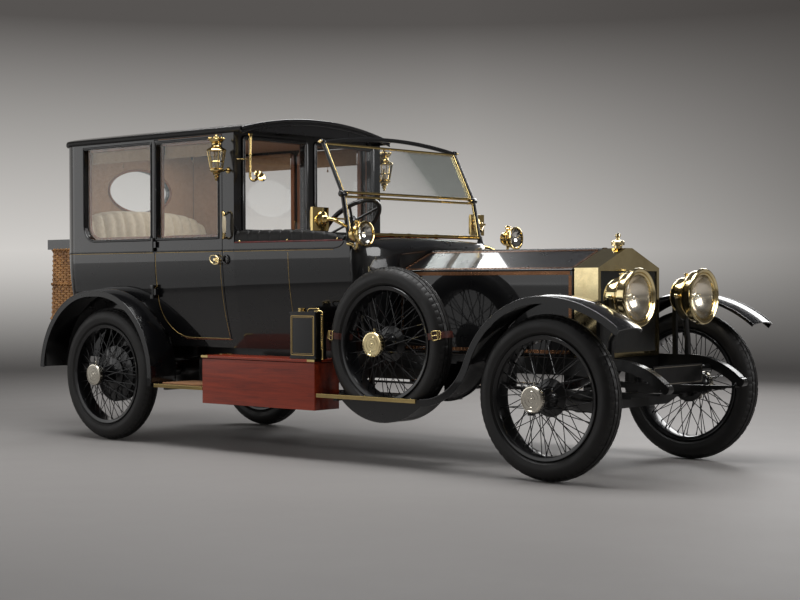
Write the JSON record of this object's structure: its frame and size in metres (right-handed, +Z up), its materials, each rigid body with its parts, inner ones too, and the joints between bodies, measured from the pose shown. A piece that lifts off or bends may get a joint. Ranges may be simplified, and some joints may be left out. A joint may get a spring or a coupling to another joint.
{
  "type": "open-drive limousine car",
  "caption": "Early motor car with a closed rear saloon, open driving seat, wire wheels, brass lamps and radiator, side-mounted spare, tool box and wicker trunk.",
  "frame": {"origin": "on the ground under the middle of the car", "axes": "+X forward, +Y to the left, +Z up"},
  "size_m": [5.235, 1.78, 2.1369],
  "materials": {
    "chassis_paint": "satin black enamel",
    "engine_iron": "cast, plain",
    "exhaust_steel": "heat-browned",
    "brass": "polished",
    "core_black": "matt black",
    "body_paint": "gloss black coach enamel",
    "board_mat": "black with ribbed mat",
    "clear_glass": "clear",
    "floor_wood": "carpeted board",
    "mahogany": "varnished",
    "black_leather": "buttoned hide",
    "cream_cloth": "woven cloth",
    "steering_wood": "dark varnish",
    "column_black": "black enamel",
    "wicker": "woven cane",
    "plate_black": "blank, thin pale border",
    "tyre_rubber": "dark grey rubber",
    "wheel_enamel": "gloss black enamel"
  },
  "bodies": {
    "chassis": {"frame": "chassis_paint", "front_axle": "chassis_paint", "rear_axle": "chassis_paint", "springs": "chassis_paint", "engine": "engine_iron", "exhaust": "exhaust_steel", "radiator_shell": "brass", "radiator_core": "core_black", "radiator_cap": "brass", "bonnet_spine": "body_paint", "scuttle": "body_paint", "floor": "floor_wood", "body_front": "body_paint", "division": "body_paint", "body_rear": "body_paint", "roof": "body_paint", "window_glass": "clear_glass", "windscreen_frame": "brass", "windscreen_glass": "clear_glass", "front_seat": "black_leather", "rear_seat": "cream_cloth", "steering_column": "column_black", "front_fenders": "body_paint", "rear_fenders": "body_paint", "running_boards": "board_mat", "tool_box": "mahogany", "spirit_can": "body_paint", "spare_tyre": "tyre_rubber", "spare_wheel": "wheel_enamel", "headlamps": "brass", "side_lamps": "brass", "carriage_lamps": "brass", "lamp_glass": "clear_glass", "mirrors": "brass", "luggage_rack": "chassis_paint", "trunk_basket": "wicker", "number_plate": "plate_black"},
    "front_right_knuckle": {"knuckle_right": "chassis_paint"},
    "front_left_knuckle": {"knuckle_left": "chassis_paint"},
    "steering_rod": {"track_rod": "chassis_paint"},
    "front_right_wheel": {"wheel_front_right": "wheel_enamel", "tyre_front_right": "tyre_rubber"},
    "front_left_wheel": {"wheel_front_left": "wheel_enamel", "tyre_front_left": "tyre_rubber"},
    "rear_right_wheel": {"wheel_rear_right": "wheel_enamel", "tyre_rear_right": "tyre_rubber"},
    "rear_left_wheel": {"wheel_rear_left": "wheel_enamel", "tyre_rear_left": "tyre_rubber"},
    "hand_wheel": {"steering_wheel": "steering_wood"},
    "rear_right_door": {"door_rear_right": "body_paint", "door_glass_right": "clear_glass"},
    "rear_left_door": {"door_rear_left": "body_paint", "door_glass_left": "clear_glass"},
    "front_left_door": {"door_front_left": "body_paint"},
    "right_bonnet_top": {"bonnet_top_right": "body_paint"},
    "left_bonnet_top": {"bonnet_top_left": "body_paint"},
    "right_bonnet_side": {"bonnet_side_right": "body_paint"},
    "left_bonnet_side": {"bonnet_side_left": "body_paint"},
    "luggage_lid": {"trunk_lid": "black_leather"}
  },
  "joints": [
    {"name": "steer_right", "type": "hinge", "parent": "chassis", "child": "front_right_knuckle", "pos_m": [2.0625, -0.64, 0.4475], "axis": [0, 0, 1], "range_deg": [-28, 28]},
    {"name": "steer_left", "type": "hinge", "parent": "chassis", "child": "front_left_knuckle", "pos_m": [2.0625, 0.64, 0.4475], "axis": [0, 0, 1], "range_deg": [-28, 28]},
    {"name": "steer_rod", "type": "hinge", "parent": "front_right_knuckle", "child": "steering_rod", "pos_m": [1.8825, -0.64, 0.3572], "axis": [0, 0, 1], "range_deg": [-28, 28]},
    {"name": "hand_wheel_turn", "type": "hinge", "parent": "chassis", "child": "hand_wheel", "pos_m": [0.2375, -0.28, 1.446], "axis": [-0.6691, 0, 0.7431], "range_deg": [-280, 280]},
    {"name": "front_right_spin", "type": "hinge", "parent": "front_right_knuckle", "child": "front_right_wheel", "pos_m": [2.0625, -0.725, 0.4475], "axis": [0, 1, 0], "continuous": true},
    {"name": "front_left_spin", "type": "hinge", "parent": "front_left_knuckle", "child": "front_left_wheel", "pos_m": [2.0625, 0.725, 0.4475], "axis": [0, 1, 0], "continuous": true},
    {"name": "rear_right_spin", "type": "hinge", "parent": "chassis", "child": "rear_right_wheel", "pos_m": [-1.5825, -0.725, 0.4475], "axis": [0, 1, 0], "continuous": true},
    {"name": "rear_left_spin", "type": "hinge", "parent": "chassis", "child": "rear_left_wheel", "pos_m": [-1.5825, 0.725, 0.4475], "axis": [0, 1, 0], "continuous": true},
    {"name": "rear_right_door_hinge", "type": "hinge", "parent": "chassis", "child": "rear_right_door", "pos_m": [-1.1655, -0.712, 1.16], "axis": [0, 0, -1], "range_deg": [0, 70]},
    {"name": "rear_left_door_hinge", "type": "hinge", "parent": "chassis", "child": "rear_left_door", "pos_m": [-1.1655, 0.712, 1.16], "axis": [0, 0, 1], "range_deg": [0, 70]},
    {"name": "front_left_door_hinge", "type": "hinge", "parent": "chassis", "child": "front_left_door", "pos_m": [0.51306, 0.66911, 1.01], "axis": [0, 0, -1], "range_deg": [0, 65]},
    {"name": "right_bonnet_lift", "type": "hinge", "parent": "chassis", "child": "right_bonnet_top", "pos_m": [1.305, -0.0213, 1.253], "axis": [-1, 0, 0], "range_deg": [0, 60]},
    {"name": "left_bonnet_lift", "type": "hinge", "parent": "chassis", "child": "left_bonnet_top", "pos_m": [1.305, 0.0213, 1.253], "axis": [1, 0, 0], "range_deg": [0, 60]},
    {"name": "right_bonnet_fold", "type": "hinge", "parent": "right_bonnet_top", "child": "right_bonnet_side", "pos_m": [1.305, -0.322, 1.132], "axis": [-1, 0, 0], "range_deg": [-60, 0]},
    {"name": "left_bonnet_fold", "type": "hinge", "parent": "left_bonnet_top", "child": "left_bonnet_side", "pos_m": [1.305, 0.322, 1.132], "axis": [1, 0, 0], "range_deg": [-60, 0]},
    {"name": "lid_lift", "type": "hinge", "parent": "chassis", "child": "luggage_lid", "pos_m": [-2.2625, 0, 1.309], "axis": [0, 1, 0], "range_deg": [0, 75]}
  ],
  "couplings": [
    {"joint": "steer_left", "follows": "steer_right", "ratio": 1},
    {"joint": "steer_rod", "follows": "steer_right", "ratio": -1},
    {"joint": "hand_wheel_turn", "follows": "steer_right", "ratio": 10},
    {"joint": "right_bonnet_fold", "follows": "right_bonnet_lift", "ratio": -1},
    {"joint": "left_bonnet_fold", "follows": "left_bonnet_lift", "ratio": -1}
  ]
}
